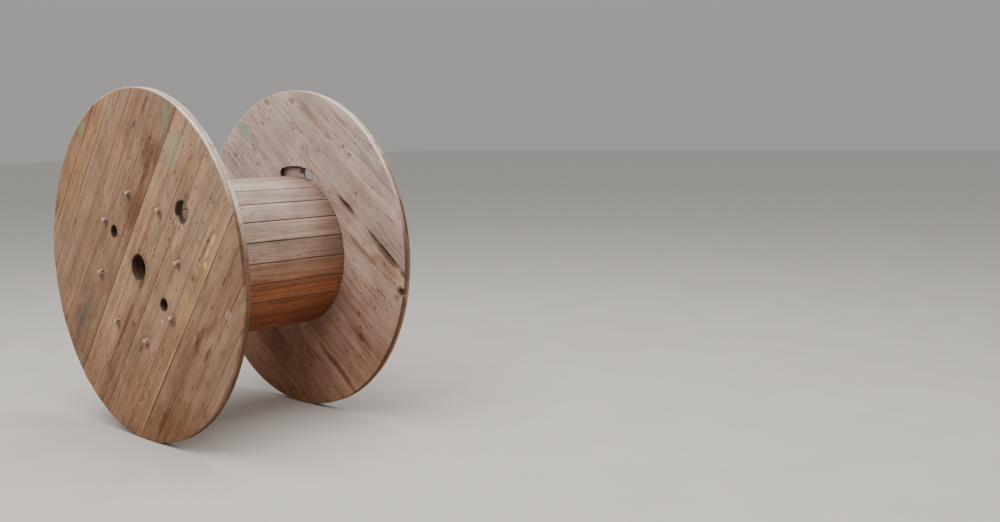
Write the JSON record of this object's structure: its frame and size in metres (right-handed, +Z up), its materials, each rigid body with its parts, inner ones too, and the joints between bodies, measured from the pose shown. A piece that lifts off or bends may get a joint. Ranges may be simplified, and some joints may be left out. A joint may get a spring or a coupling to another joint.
{
  "type": "cable drum",
  "caption": "Wooden cable drum lying on the rims of two round board flanges, with a hollow staved barrel between them, a central arbor hole, drive holes and cable holes.",
  "frame": {"origin": "on the floor below the middle of the barrel: the centre of the bottom of the bounding box, with the axle line 0.8 m above it", "axes": "+X along the axle line from the near flange, which has the round cable hole, to the far flange with the start slot; +Z up; +Y across"},
  "size_m": [0.96, 1.6, 1.6],
  "materials": {
    "face_boards": "weathered, rough",
    "inner_boards": "weathered, rough",
    "staves": "weathered, rough",
    "core_discs": "sawn, rough",
    "galvanised_steel": "dull"
  },
  "bodies": {
    "root": {"near_outer_boards": "face_boards", "far_outer_boards": "face_boards", "near_inner_boards": "inner_boards", "far_inner_boards": "inner_boards", "staves": "staves", "near_core_disc": "core_discs", "far_core_disc": "core_discs", "tie_rods": "galvanised_steel", "near_washers": "galvanised_steel", "far_washers": "galvanised_steel", "near_nuts": "galvanised_steel", "far_nuts": "galvanised_steel"}
  },
  "joints": []
}
